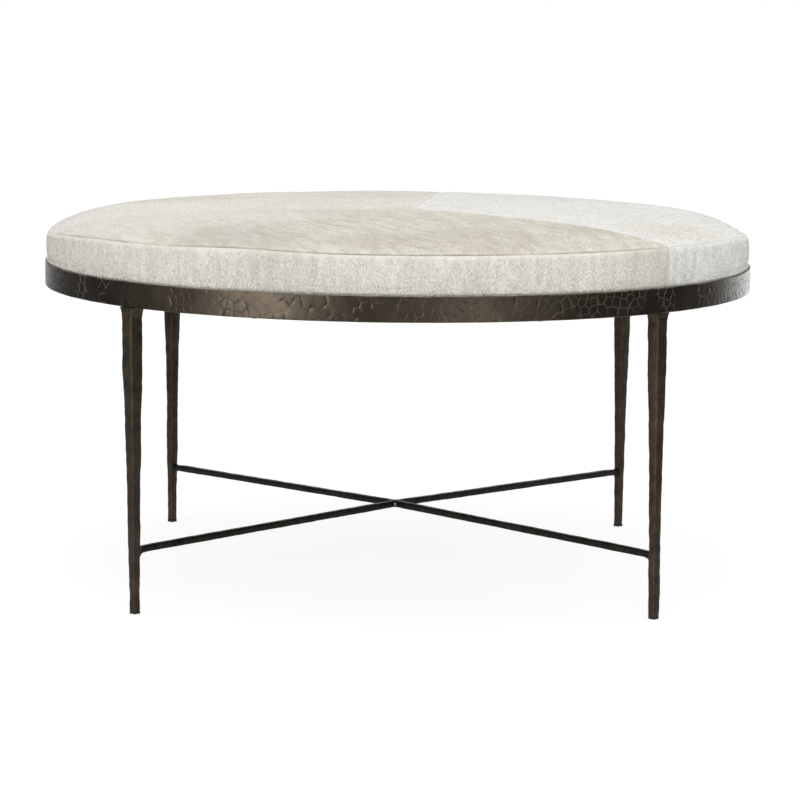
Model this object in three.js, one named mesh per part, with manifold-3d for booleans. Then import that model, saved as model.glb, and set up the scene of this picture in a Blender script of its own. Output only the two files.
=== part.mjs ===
import * as THREE from "three";
import { mergeVertices } from "three/addons/utils/BufferGeometryUtils.js";
import Module from "manifold-3d";

const wasm = await Module();
wasm.setup();

// A round table ottoman: a cushion pieced from hair-on hide, dropped into a forged iron frame.
// Lengths are millimetres and angles degrees. +Z is up, the floor is zero, the front is towards -Y.

// Iron hoop, and the flat ring welded inside it that the seat rests on
const apronOuterRadius = 457;
const apronThickness = 4.8;
const apronHeight = 30.5;
const apronClearHeight = 376.7;
const seatRingWidth = 25;
const seatRingThickness = 4.8;

// Forged legs, square in section and tapered to the foot
const legTopSide = 17.8;
const legFootSide = 8.8;
const legCornerShare = 0.22;
const legWaveShare = 0.03;
const longWaveCount = 3.1;
const shortWaveCount = 5.3;
const legFlareHeight = 14;
const legFlareShare = 0.07;
const glideSide = 9.9;
const glideThickness = 3.2;

// Two crossed stretchers, halved into each other at the centre
const stretcherThickness = 8.2;
const stretcherCornerShare = 0.3;
const stretcherLegHeight = 79;
const stretcherCentreRise = 5.7;
const weldFlareLength = 20;
const weldFlareTallShare = 0.5;
const weldFlareWideShare = 0.18;
const weldFlareDropShare = 0.12;

// Upholstered seat
const deckThickness = 15;
const hideThickness = 2.5;
const hideTurnIn = 22;
const hideFoldRadius = 2;
const bandVisibleHeight = 48.7;
const bandBulge = 2.7;
const crownRise = 18;
const topSeamInset = 1.8;
const foamTopDrop = 4;
const waddingEdgeHeight = 2.6;
const dustCoverThickness = 0.8;

// Screws up through the seat ring into the deck board
const screwRimDistance = 14;
const screwHeadRadius = 4.2;
const screwHeadHeight = 2.4;
const screwHeadFlatShare = 0.7;
const screwShankRadius = 2.1;
const screwBite = 10;
const screwTipLength = 3;

// Clearances between neighbours
const weldGap = 0.3;
const upholsteryClearance = 0.7;
const screwHoleClearance = 0.5;
const dustCoverEdgeGap = 0.6;
const cutOverrun = 2;

// Places round the table, and how finely it is drawn
const legPlaces = ["back_right", "back_left", "front_left", "front_right"];
const firstLegAngle = 45;
const seamAngles = [-44, 81, 196];
const sectorNames = ["right", "back_left", "front"];
const screwCount = 8;
const firstScrewAngle = 22.5;
const roundSegmentCount = 72;
const screwSegmentCount = 12;
const legRingCount = 26;

// Heights and radii that follow from the driving dimensions
const apronInnerRadius = apronOuterRadius - apronThickness;
const apronTop = apronClearHeight + apronHeight;
const seatRingOuterRadius = apronInnerRadius - weldGap;
const seatRingInnerRadius = seatRingOuterRadius - seatRingWidth;
const seatRingTop = apronClearHeight + seatRingThickness;
const turnInBottom = seatRingTop + weldGap;
const deckBottom = turnInBottom + hideThickness + weldGap;
const deckTop = deckBottom + deckThickness;
const bandFitRadius = apronInnerRadius - upholsteryClearance;
const turnInRadius = bandFitRadius - hideTurnIn;
const deckRadius = bandFitRadius - hideThickness - weldGap;
const seamHeight = apronTop + bandVisibleHeight;
const bandBulgeRadius = bandFitRadius + bandBulge;
const topSeamRadius = bandBulgeRadius - topSeamInset;
const foamTop = seamHeight - foamTopDrop;
const screwCircleRadius = apronInnerRadius - screwRimDistance;
const legFoot = glideThickness + weldGap;
const legTop = apronClearHeight - weldGap;
const legCentreRadius = apronOuterRadius - legTopSide / 2;

const radians = THREE.MathUtils.degToRad;
const point = (radius, height) => new THREE.Vector2(radius, height);
const legAngle = (place) => firstLegAngle + (360 * legPlaces.indexOf(place)) / legPlaces.length;

// Finishes
const finish = (color, roughness, metalness) =>
  new THREE.MeshStandardMaterial({ color, roughness, metalness });

function addMesh(parent, name, geometry, material) {
  const mesh = new THREE.Mesh(geometry, material);
  mesh.name = name;
  parent.add(mesh);
  return mesh;
}

// Joins the corners that touch, so that the surface is closed.
function welded(geometry) {
  const bare = geometry.clone();
  bare.deleteAttribute("normal");
  bare.deleteAttribute("uv");
  return mergeVertices(bare);
}

function solidOf(geometry) {
  const closed = welded(geometry);
  return new wasm.Manifold(
    new wasm.Mesh({
      numProp: 3,
      vertProperties: closed.attributes.position.array,
      triVerts: new Uint32Array(closed.index.array),
    }),
  );
}

function geometryOf(solid) {
  const mesh = solid.getMesh();
  const geometry = new THREE.BufferGeometry();
  geometry.setAttribute("position", new THREE.BufferAttribute(mesh.vertProperties, mesh.numProp));
  geometry.setIndex(new THREE.BufferAttribute(mesh.triVerts, 1));
  return geometry;
}

// A full turn of an outline about the table's axis. Its facets start at the first seam.
function turned(outline, segments = roundSegmentCount) {
  const lathe = new THREE.LatheGeometry(outline, segments);
  lathe.rotateX(Math.PI / 2);
  lathe.rotateZ(radians(90 + seamAngles[0]));
  return lathe;
}

function hoop(innerRadius, outerRadius, bottom, top) {
  return turned([
    point(outerRadius, bottom),
    point(outerRadius, top),
    point(innerRadius, top),
    point(innerRadius, bottom),
    point(outerRadius, bottom),
  ]);
}

function disc(radius, bottom, top) {
  return turned([point(0, bottom), point(radius, bottom), point(radius, top), point(0, top)]);
}

// A closed outline swept from one angle to another, with a flat face at each end.
function swept(outline, startAngle, endAngle) {
  const steps = Math.round(((endAngle - startAngle) * roundSegmentCount) / 360);
  const count = outline.length;
  const positions = [];
  for (let step = 0; step <= steps; step++) {
    const angle = radians(startAngle + ((endAngle - startAngle) * step) / steps);
    for (const corner of outline)
      positions.push(corner.x * Math.cos(angle), corner.x * Math.sin(angle), corner.y);
  }
  const faces = [];
  for (let step = 0; step < steps; step++)
    for (let i = 0; i < count; i++) {
      const here = step * count + i;
      const next = step * count + ((i + 1) % count);
      if (outline[(i + 1) % count].x > 0) faces.push(here, next + count, next);
      if (outline[i].x > 0) faces.push(here, here + count, next + count);
    }
  for (const [a, b, c] of THREE.ShapeUtils.triangulateShape(outline, [])) {
    faces.push(a, b, c);
    faces.push(steps * count + a, steps * count + c, steps * count + b);
  }
  return meshOf(positions, faces);
}

// Rings with the same number of corners, joined one to the next and closed at both ends.
function lofted(rings) {
  const count = rings[0].length;
  const faces = [];
  rings.slice(1).forEach((_, ring) => {
    for (let i = 0; i < count; i++) {
      const here = ring * count + i;
      const next = ring * count + ((i + 1) % count);
      faces.push(here, next, next + count, here, next + count, here + count);
    }
  });
  const last = (rings.length - 1) * count;
  for (let i = 1; i < count - 1; i++) faces.push(0, i + 1, i, last, last + i, last + i + 1);
  return meshOf(rings.flat().flatMap((corner) => corner.toArray()), faces);
}

function meshOf(positions, faces) {
  const geometry = new THREE.BufferGeometry();
  geometry.setAttribute("position", new THREE.Float32BufferAttribute(positions, 3));
  geometry.setIndex(faces);
  return geometry;
}

// The line beside an open outline, at a depth to its left. Its first end keeps its radius and its
// last end its height.
function inset(outline, depth) {
  const lines = outline.slice(1).map((end, i) => {
    const along = end.clone().sub(outline[i]).normalize();
    const left = point(-along.y, along.x);
    return { along, start: outline[i].clone().addScaledVector(left, depth) };
  });
  const ends = [
    { start: outline[0], along: point(0, 1) },
    { start: outline[outline.length - 1], along: point(1, 0) },
  ];
  const chain = [ends[0], ...lines, ends[1]];
  return chain.slice(1).map((line, i) => {
    const before = chain[i];
    const between = line.start.clone().sub(before.start);
    const turn = before.along.cross(line.along);
    return before.start.clone().addScaledVector(before.along, between.cross(line.along) / turn);
  });
}

// A square section with rounded corners, three points to a corner
function roundedSquare(halfWide, halfTall, cornerShare) {
  const corner = Math.min(halfWide, halfTall) * cornerShare * 2;
  const points = [];
  for (let quarter = 0; quarter < 4; quarter++)
    for (const turn of [0, 45, 90]) {
      const angle = radians(90 * quarter + turn);
      const [sideX, sideY] = [[1, 1], [-1, 1], [-1, -1], [1, -1]][quarter];
      const across = sideX * (halfWide - corner) + corner * Math.cos(angle);
      points.push(point(across, sideY * (halfTall - corner) + corner * Math.sin(angle)));
    }
  return points;
}

// Half the side of a leg at a height. Each leg's hammered waves start at a phase of its own.
function legHalfSide(height, phase) {
  const share = (height - legFoot) / (legTop - legFoot);
  const taper = legFootSide + (legTopSide - legFootSide) * share;
  const longWave = Math.sin(2 * Math.PI * longWaveCount * share + phase);
  const shortWave = Math.sin(2 * Math.PI * shortWaveCount * share + 2 * phase) / 2;
  const wave = (longWave + shortWave) * Math.sin(Math.PI * share);
  const flare = Math.max(0, 1 - (legTop - height) / legFlareHeight) ** 2;
  return (taper / 2) * (1 + legWaveShare * wave + legFlareShare * flare);
}

// A leg stands on its own axis, with local X pointing away from the table's centre.
function legGeometry(phase) {
  const rings = [];
  for (let ring = 0; ring <= legRingCount; ring++) {
    const height = legFoot + ((legTop - legFoot) * ring) / legRingCount;
    const half = legHalfSide(height, phase);
    const section = roundedSquare(half, half, legCornerShare);
    rings.push(section.map((corner) => new THREE.Vector3(corner.x, corner.y, height)));
  }
  return lofted(rings);
}

// How far from the centre a stretcher reaches before it meets a leg
function stretcherReach(phase) {
  const halfEnd = (stretcherThickness / 2) * (1 + weldFlareTallShare);
  const heights = [stretcherLegHeight - halfEnd, stretcherLegHeight, stretcherLegHeight + halfEnd];
  const widest = Math.max(...heights.map((height) => legHalfSide(height, phase)));
  return legCentreRadius - widest - weldGap;
}

// A stretcher lies along local X, from one leg to the opposite one, and rises to the centre.
function stretcherGeometry(startPhase, endPhase) {
  const half = stretcherThickness / 2;
  const reaches = [stretcherReach(startPhase), stretcherReach(endPhase)];
  const flareShares = [0, 0.12, 0.3, 0.6, 1];
  const sectionAt = (x, reach) => {
    const fromEnd = Math.min(1, (reach - Math.abs(x)) / weldFlareLength);
    const flare = (1 - fromEnd) ** 2;
    const middle =
      stretcherLegHeight + stretcherCentreRise * (1 - Math.abs(x) / reach) -
      stretcherThickness * weldFlareDropShare * flare;
    const wide = half * (1 + weldFlareWideShare * flare);
    const tall = half * (1 + weldFlareTallShare * flare);
    return roundedSquare(wide, tall, stretcherCornerShare).map(
      (corner) => new THREE.Vector3(x, corner.x, middle + corner.y),
    );
  };
  const startHalf = flareShares.map((share) => sectionAt(weldFlareLength * share - reaches[0], reaches[0]));
  const endHalf = flareShares.map((share) => sectionAt(reaches[1] - weldFlareLength * share, reaches[1]));
  return lofted([...startHalf, sectionAt(0, reaches[0]), ...endHalf.reverse()]);
}

// The block that halves a stretcher at the crossing, above or below its middle
function halvingBlock(side) {
  const length = stretcherThickness + 2 * weldGap;
  const height = stretcherThickness / 2 + cutOverrun;
  const block = new THREE.BoxGeometry(length, stretcherThickness + 2 * cutOverrun, height);
  const middle = stretcherLegHeight + stretcherCentreRise;
  block.translate(0, 0, middle + side * (height / 2 - weldGap / 2));
  return block;
}

function upright(radius, bottom, top, angle) {
  const cylinder = new THREE.CylinderGeometry(radius, radius, top - bottom, screwSegmentCount);
  cylinder.rotateX(Math.PI / 2);
  cylinder.translate(screwCircleRadius, 0, (bottom + top) / 2);
  cylinder.rotateZ(radians(angle));
  return cylinder;
}

const screwAngles = Array.from({ length: screwCount }, (_, i) => firstScrewAngle + (360 * i) / screwCount);

function drilled(geometry, radius, bottom, top) {
  const holes = screwAngles.map((angle) => solidOf(upright(radius, bottom, top, angle)));
  return geometryOf(holes.reduce((solid, hole) => solid.subtract(hole), solidOf(geometry)));
}

// The band above the hoop: shares of its bulge and of its visible height
const bandShares = [
  [0, 0],
  [0.7, 0.06],
  [1, 0.36],
  [1, 0.72],
];

// The band's outer face: turned in under the deck, up inside the hoop, then swelling above it
const bandFace = [
  point(turnInRadius, turnInBottom),
  point(bandFitRadius - hideFoldRadius, turnInBottom),
  point(bandFitRadius, turnInBottom + hideFoldRadius),
  ...bandShares.map(([bulgeShare, heightShare]) =>
    point(bandFitRadius + bandBulge * bulgeShare, apronTop + bandVisibleHeight * heightShare),
  ),
  point(bandBulgeRadius - topSeamInset / 2, seamHeight - weldGap),
];

// The crown's outer face, from the centre to the seam: shares of the seam's radius and of the rise
const crownShares = [
  [0, 1],
  [0.42, 0.985],
  [0.62, 0.95],
  [0.76, 0.87],
  [0.84, 0.75],
  [0.9, 0.59],
  [0.945, 0.4],
  [0.978, 0.2],
  [1, 0],
];
const crownFace = crownShares.map(([radiusShare, riseShare]) =>
  point(topSeamRadius * radiusShare, seamHeight + crownRise * riseShare),
);

const bandOutline = [...bandFace, ...inset(bandFace, hideThickness).reverse()];
const crownOutline = [...inset(crownFace, -hideThickness), ...crownFace.slice().reverse()];

function seatFrame() {
  const group = new THREE.Group();
  const iron = finish("#37302a", 0.5, 0.8);
  const zinc = finish("#8d8f90", 0.4, 0.9);
  addMesh(group, "apron_ring", hoop(apronInnerRadius, apronOuterRadius, apronClearHeight, apronTop), iron);
  const ring = hoop(seatRingInnerRadius, seatRingOuterRadius, apronClearHeight, seatRingTop);
  const holeRadius = screwShankRadius + screwHoleClearance;
  const drilledRing = drilled(ring, holeRadius, apronClearHeight - cutOverrun, seatRingTop + cutOverrun);
  addMesh(group, "seat_ring", drilledRing, iron.clone());
  const headTop = apronClearHeight - weldGap;
  const tip = deckBottom + screwBite;
  const screw = new THREE.LatheGeometry(
    [
      point(0, headTop - screwHeadHeight),
      point(screwHeadRadius * screwHeadFlatShare, headTop - screwHeadHeight),
      point(screwHeadRadius, headTop - screwHeadHeight / 2),
      point(screwHeadRadius, headTop),
      point(screwShankRadius, headTop),
      point(screwShankRadius, tip - screwTipLength),
      point(0, tip),
    ],
    screwSegmentCount,
  );
  screw.rotateX(Math.PI / 2);
  screwAngles.forEach((angle, i) => {
    const turn = new THREE.Group();
    turn.rotation.z = radians(angle);
    addMesh(turn, `deck_screw_${i + 1}`, screw.clone(), zinc.clone()).position.x = screwCircleRadius;
    group.add(turn);
  });
  return group;
}

function legs() {
  const group = new THREE.Group();
  const section = roundedSquare(glideSide / 2, glideSide / 2, legCornerShare);
  const glide = new THREE.ExtrudeGeometry(new THREE.Shape(section), {
    depth: glideThickness,
    bevelEnabled: false,
  });
  for (const place of legPlaces) {
    const angle = legAngle(place);
    const turn = new THREE.Group();
    turn.rotation.z = radians(angle);
    const leg = addMesh(turn, `leg_${place}`, legGeometry(radians(angle)), finish("#352d27", 0.5, 0.8));
    const pad = addMesh(turn, `glide_${place}`, glide.clone(), finish("#151413", 0.7, 0));
    leg.position.x = legCentreRadius;
    pad.position.x = legCentreRadius;
    group.add(turn);
  }
  return group;
}

function stretchers() {
  const group = new THREE.Group();
  const bars = [
    { start: "front_left", end: "back_right", side: -1 },
    { start: "front_right", end: "back_left", side: 1 },
  ];
  for (const { start, end, side } of bars) {
    const bar = solidOf(stretcherGeometry(radians(legAngle(start)), radians(legAngle(end))));
    const halved = geometryOf(bar.subtract(solidOf(halvingBlock(side))));
    const mesh = addMesh(group, `stretcher_from_${start}`, halved, finish("#332c26", 0.5, 0.8));
    mesh.rotation.z = radians(legAngle(end));
  }
  return group;
}

function seat() {
  const group = new THREE.Group();
  const pilotRadius = screwShankRadius + weldGap;
  const pilotTop = deckBottom + screwBite + weldGap;
  const board = disc(deckRadius, deckBottom, deckTop);
  const drilledBoard = drilled(board, pilotRadius, deckBottom - cutOverrun, pilotTop);
  addMesh(group, "deck_board", drilledBoard, finish("#c8a878", 0.8, 0));

  const coverTop = deckBottom - weldGap;
  const cover = disc(turnInRadius - dustCoverEdgeGap, coverTop - dustCoverThickness, coverTop);
  addMesh(group, "dust_cover", cover, finish("#1b1b1c", 0.95, 0));

  const foamFace = inset(bandFace, hideThickness + weldGap).filter(
    (corner) => corner.x >= deckRadius && corner.y > deckTop + weldGap && corner.y < foamTop,
  );
  const foam = [
    point(0, deckTop + weldGap),
    point(deckRadius, deckTop + weldGap),
    ...foamFace,
    point(foamFace[foamFace.length - 1].x - weldGap, foamTop),
    point(0, foamTop),
  ];
  addMesh(group, "foam_core", turned(foam), finish("#e8dfae", 0.95, 0));

  const waddingFace = inset(crownFace, -(hideThickness + weldGap)).reverse();
  const rim = waddingFace[0];
  const wadding = [
    point(0, foamTop + weldGap),
    point(rim.x + weldGap, foamTop + weldGap),
    point(rim.x + weldGap, foamTop + waddingEdgeHeight),
    point(rim.x, seamHeight - weldGap),
    ...waddingFace.slice(1),
  ];
  addMesh(group, "crown_wadding", turned(wadding), finish("#f1f0ea", 1, 0));
  return group;
}

// Three panels for the top and three for the band, each drawn back a little from its seams
function hideCover() {
  const group = new THREE.Group();
  const colours = { right: "#d9cfc0", back_left: "#cabdaa", front: "#b8a894" };
  const holeRadius = screwShankRadius + weldGap;
  seamAngles.forEach((start, i) => {
    const end = seamAngles[i + 1] ?? seamAngles[0] + 360;
    const name = sectorNames[i];
    const top = swept(crownOutline, start, end);
    const band = drilled(
      swept(bandOutline, start, end),
      holeRadius,
      turnInBottom - cutOverrun,
      deckBottom + cutOverrun,
    );
    const middle = radians((start + end) / 2);
    const drawnBack = weldGap / 2 / Math.sin(radians(end - start) / 2);
    for (const [kind, geometry] of [["hide_top", top], ["hide_band", band]]) {
      const panel = addMesh(group, `${kind}_${name}`, geometry, finish(colours[name], 0.85, 0));
      panel.position.set(drawnBack * Math.cos(middle), drawnBack * Math.sin(middle), 0);
    }
  });
  return group;
}

const table = new THREE.Group();
table.add(seatFrame(), legs(), stretchers(), seat(), hideCover());

export default table;
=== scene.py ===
import math

import bmesh
import bpy
import numpy as np
from mathutils import Matrix, Vector, geometry, noise


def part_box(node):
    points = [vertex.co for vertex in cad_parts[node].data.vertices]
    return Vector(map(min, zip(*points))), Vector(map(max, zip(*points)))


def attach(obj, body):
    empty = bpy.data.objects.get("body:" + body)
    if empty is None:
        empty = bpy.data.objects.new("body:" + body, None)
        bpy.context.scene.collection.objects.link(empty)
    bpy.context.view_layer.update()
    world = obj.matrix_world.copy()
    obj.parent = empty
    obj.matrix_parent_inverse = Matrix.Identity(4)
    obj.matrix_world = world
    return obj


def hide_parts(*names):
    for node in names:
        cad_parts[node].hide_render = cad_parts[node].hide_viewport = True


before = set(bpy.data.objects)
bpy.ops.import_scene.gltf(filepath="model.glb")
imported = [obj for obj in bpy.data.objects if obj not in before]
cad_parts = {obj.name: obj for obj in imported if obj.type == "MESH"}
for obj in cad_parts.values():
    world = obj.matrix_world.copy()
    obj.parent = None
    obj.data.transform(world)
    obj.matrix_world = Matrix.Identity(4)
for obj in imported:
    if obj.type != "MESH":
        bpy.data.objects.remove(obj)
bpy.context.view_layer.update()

# A round table ottoman in the row frame: metres, +Z up, the floor at zero, the front towards -Y.
bpy.ops.object.select_all(action="DESELECT")


# The hoop: flat iron bar rolled to a ring and welded. Its outer face has a patina that has cracked
# into cells, so each cell is a low plate between grooves. The seat drops into it.
def farthest(node):
    """The radius of a CAD node about the table's axis."""
    return max(vertex.co.xy.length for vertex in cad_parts[node].data.vertices)


def nearest(node):
    """The radius of the hole through the middle of a CAD node."""
    return min(vertex.co.xy.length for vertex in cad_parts[node].data.vertices)


def hole(node):
    """The radius of a ring's hole, let out by as much as the CAD's flat sides stand in."""
    return nearest(node) / math.cos(math.pi / solid_sides)


def only(piece):
    """Selects a piece alone, and makes it the active one."""
    bpy.ops.object.select_all(action="DESELECT")
    bpy.context.view_layer.objects.active = piece
    piece.select_set(True)


def edit(piece):
    """Opens a piece in edit mode, with nothing selected."""
    only(piece)
    bpy.ops.object.mode_set(mode="EDIT")
    bpy.ops.mesh.select_all(action="DESELECT")
    return bmesh.from_edit_mesh(piece.data)


def take_all():
    """Selects all of the mesh that is open."""
    bpy.ops.mesh.select_all(action="SELECT")


def close():
    """Leaves edit mode."""
    bpy.ops.object.mode_set(mode="OBJECT")


def drawn_to(radius, height, next_radius, next_height):
    """Extrudes the selected ring of edges to another radius and height."""
    bpy.ops.mesh.extrude_edges_move()
    ratio = next_radius / radius
    bpy.ops.transform.resize(value=(ratio, ratio, 1), center_override=(0, 0, height))
    bpy.ops.transform.translate(value=(0, 0, next_height - height))


def added(name, data):
    """A new object in the scene that shows this data."""
    piece = bpy.data.objects.new(name, data)
    bpy.context.scene.collection.objects.link(piece)
    return piece


def drawn(name, points, faces):
    """A piece whose mesh is given point by point."""
    mesh = bpy.data.meshes.new(name)
    mesh.from_pydata(np.asarray(points, float).tolist(), [], [tuple(face) for face in faces])
    mesh.update()
    return added(name, mesh)


def marked(mesh, name, values):
    """Gives each point of a mesh a number that its finish reads."""
    mesh.attributes.new(name, "FLOAT", "POINT").data.foreach_set("value", values)


def smooth(piece, degrees):
    """Smooth shading, but for edges sharper than this."""
    only(piece)
    bpy.ops.object.shade_smooth_by_angle(angle=math.radians(degrees))


class Level:
    """A number that a node gives. A sum with it adds its Math nodes."""

    def __init__(self, graph, socket):
        self.graph = graph
        self.socket = socket

    def math(self, operation, first, second):
        return self.graph.node("ShaderNodeMath", {"operation": operation}, {0: first, 1: second})

    def __add__(self, other):
        return self.math("ADD", self, other)

    def __sub__(self, other):
        return self.math("SUBTRACT", self, other)

    def __rsub__(self, other):
        return self.math("SUBTRACT", other, self)

    def __mul__(self, other):
        return self.math("MULTIPLY", self, other)

    __radd__ = __add__
    __rmul__ = __mul__

    def between(self, low, high):
        """0 below low, 1 above high, and smooth between them."""
        return self.graph.node(
            "ShaderNodeMapRange",
            {"interpolation_type": "SMOOTHSTEP"},
            {"Value": self, "From Min": low, "From Max": high},
        )


class Graph:
    """The nodes of a material or of the room, added one by one."""

    def __init__(self, tree):
        self.tree = tree

    def node(self, kind, settings, values, output=0):
        """Adds a node: its settings first, then its sockets' values or links."""
        made = self.tree.nodes.new(kind)
        for name, value in settings.items():
            setattr(made, name, value)
        by_name = {socket.identifier: socket for socket in made.inputs}
        for name, value in values.items():
            self.feed(made.inputs[name] if isinstance(name, int) else by_name[name], value)
        return Level(self, made.outputs[output])

    def feed(self, socket, value):
        """Sets a socket, or links it if the value comes from a node."""
        if isinstance(value, Level):
            self.tree.links.new(value.socket, socket)
        else:
            socket.default_value = value

    def mixed(self, share, first, second):
        """The first colour where share is 0, and the second where it is 1."""
        values = {"Factor_Float": share, "A_Color": first, "B_Color": second}
        return self.node("ShaderNodeMix", {"data_type": "RGBA"}, values, output=2)


class Finish(Graph):
    """A material as it is built up. What is the same all over is set on the shader."""

    def __init__(self, name, **constants):
        self.material = bpy.data.materials.new(name)
        self.material.use_nodes = True
        super().__init__(self.material.node_tree)
        self.shader = self.tree.nodes["Principled BSDF"]
        for socket, value in constants.items():
            self.shader.inputs[socket.replace("_", " ")].default_value = value

    def set(self, socket, value):
        self.feed(self.shader.inputs[socket], value)

    def place(self):
        """Where on the object a point is, in metres."""
        return self.node("ShaderNodeTexCoord", {}, {}, output=3)

    def mark(self, name):
        """The number that each point of the mesh was given."""
        return self.node("ShaderNodeAttribute", {"attribute_name": name}, {}, output=2)

    def speckle(self, place, scale, detail=3.0, roughness=0.5):
        """Soft noise from 0 to 1. The scale is in patches to a metre."""
        sizes = {"Vector": place, "Scale": scale, "Detail": detail, "Roughness": roughness}
        return self.node("ShaderNodeTexNoise", {}, sizes)

    def stretched(self, place, turn, scale):
        """A place turned about Z, then scaled along each axis."""
        spun = self.node("ShaderNodeMapping", {}, {"Vector": place, "Rotation": (0, 0, turn)})
        return self.node("ShaderNodeMapping", {}, {"Vector": spun, "Scale": scale})

    def raised(self, height, distance, strength):
        """Feeds the shader's normal from a height."""
        values = {"Height": height, "Distance": distance, "Strength": strength}
        self.set("Normal", self.node("ShaderNodeBump", {}, values))

    def on(self, piece):
        """Puts the finish on a piece, in place of any other."""
        if piece.material_slots:
            for slot in piece.material_slots:
                slot.material = self.material
        else:
            piece.data.materials.append(self.material)


def tint(code):
    """A colour written as on a paint card, as the light that it sends back."""
    shares = [int(code[i : i + 2], 16) / 255 for i in (1, 3, 5)]
    light = [s / 12.92 if s <= 0.04045 else ((s + 0.055) / 1.055) ** 2.4 for s in shares]
    return (*light, 1.0)


def ridden(piece, finish, slot, *nodes):
    """A finished rigid piece: its material, the frame that carries it and what it stands for."""
    finish.on(piece)
    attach(piece, "root")
    if nodes:
        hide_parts(*nodes)


# How many flat sides the CAD's rings have, and how much two heights that count as one may differ
solid_sides = 72
same_level = 0.00001
hoop_radius = farthest("apron_ring")
hoop_inner = hole("apron_ring")
hoop_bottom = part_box("apron_ring")[0].z
hoop_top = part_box("apron_ring")[1].z
hoop_height = hoop_top - hoop_bottom
hoop_corner = 0.0006
# Where on a rounded corner its one ring of points lies, as shares of the corner in and up
corner_in = 0.3
corner_up = 0.7
hoop_length = 2 * math.pi * hoop_radius
crack_random = np.random.default_rng(11)
crack_depth = 0.00055
crack_half_width = 0.0006
crack_step = 0.0032
crack_wander = 0.0013
waves_to_a_metre = 90
# How open a crack is in the mean, and how far that changes in waves three times as long
gape = 0.7
gape_change = 2.8
least_length = 0.00002
merge_reach = 0.00003
plate_crown = 0.00014
groove_least = plate_crown * 0.8
plate_tilt = 0.008
# A plate's three rings of points lie in the crack, past its slope and on the top: how far in, as
# shares of the way to the middle, and how high, as shares of a crown that itself varies
plate_slope_most = 0.45
plate_top_share = 0.5
plate_rises = (0, 0.35, 0.85)
plate_lifts = (0.4, 1.0)
# The least and most room that a plate has, how many sizes are tried, and how often each of them
plate_reach = (0.0048, 0.0122)
plate_sizes = 26
plate_tries = 260
# How much of the strip is laid out again past each end, so that the plates meet round the hoop
strip_margin = 0.06
no_area = 1e-12


def plate_middles():
    """Where the plates lie along the strip and across it: scattered, but each with some room."""
    middles = np.empty((0, 2))
    rooms = np.empty(0)
    for room in np.linspace(plate_reach[1], plate_reach[0], plate_sizes):
        for tried in crack_random.uniform((0, 0), (hoop_length, hoop_height), (plate_tries, 2)):
            away = np.abs(middles - tried)
            away[:, 0] = np.minimum(away[:, 0], hoop_length - away[:, 0])
            if not len(middles) or (np.hypot(*away.T) > (room + rooms) / 2).all():
                middles = np.vstack([middles, tried])
                rooms = np.append(rooms, room)
    return middles


def plates(middles):
    """The corners of the cells round the middles, and each cell as a ring of corner numbers."""
    after = middles[middles[:, 0] < strip_margin] + (hoop_length, 0)
    before = middles[middles[:, 0] > hoop_length - strip_margin] - (hoop_length, 0)
    around = np.vstack([middles, after, before])
    mirrored = [around * (1, -1), around * (1, -1) + (0, 2 * hoop_height)]
    points = np.vstack([around, *mirrored])
    found = geometry.delaunay_2d_cdt([Vector(point) for point in points], [], [], 0, 1e-9)
    where, triangles, origins = found[0], found[2], found[3]
    cells = {}
    corners = []
    for triangle in triangles:
        a, b, c = (where[i] for i in triangle)
        side, other = b - a, c - a
        twice = 2 * side.cross(other)
        if abs(twice) < no_area:
            continue
        x = (other.y * side.length_squared - side.y * other.length_squared) / twice
        y = (side.x * other.length_squared - other.x * side.length_squared) / twice
        for i in triangle:
            cells.setdefault(origins[i][0], []).append(len(corners))
        corners.append((a.x + x, a.y + y))
    corners = np.array(corners)
    rings = []
    for i, middle in enumerate(middles):
        ring = np.array(cells[i])
        away = corners[ring] - middle
        rings.append(ring[np.argsort(np.arctan2(away[:, 1], away[:, 0]))])
    return corners, rings


def on_hoop(along, height, depth):
    """A point of the strip, bent round the hoop."""
    angle = along / hoop_radius
    radius = hoop_radius - depth
    return (radius * math.cos(angle), radius * math.sin(angle), hoop_bottom + height)


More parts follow.
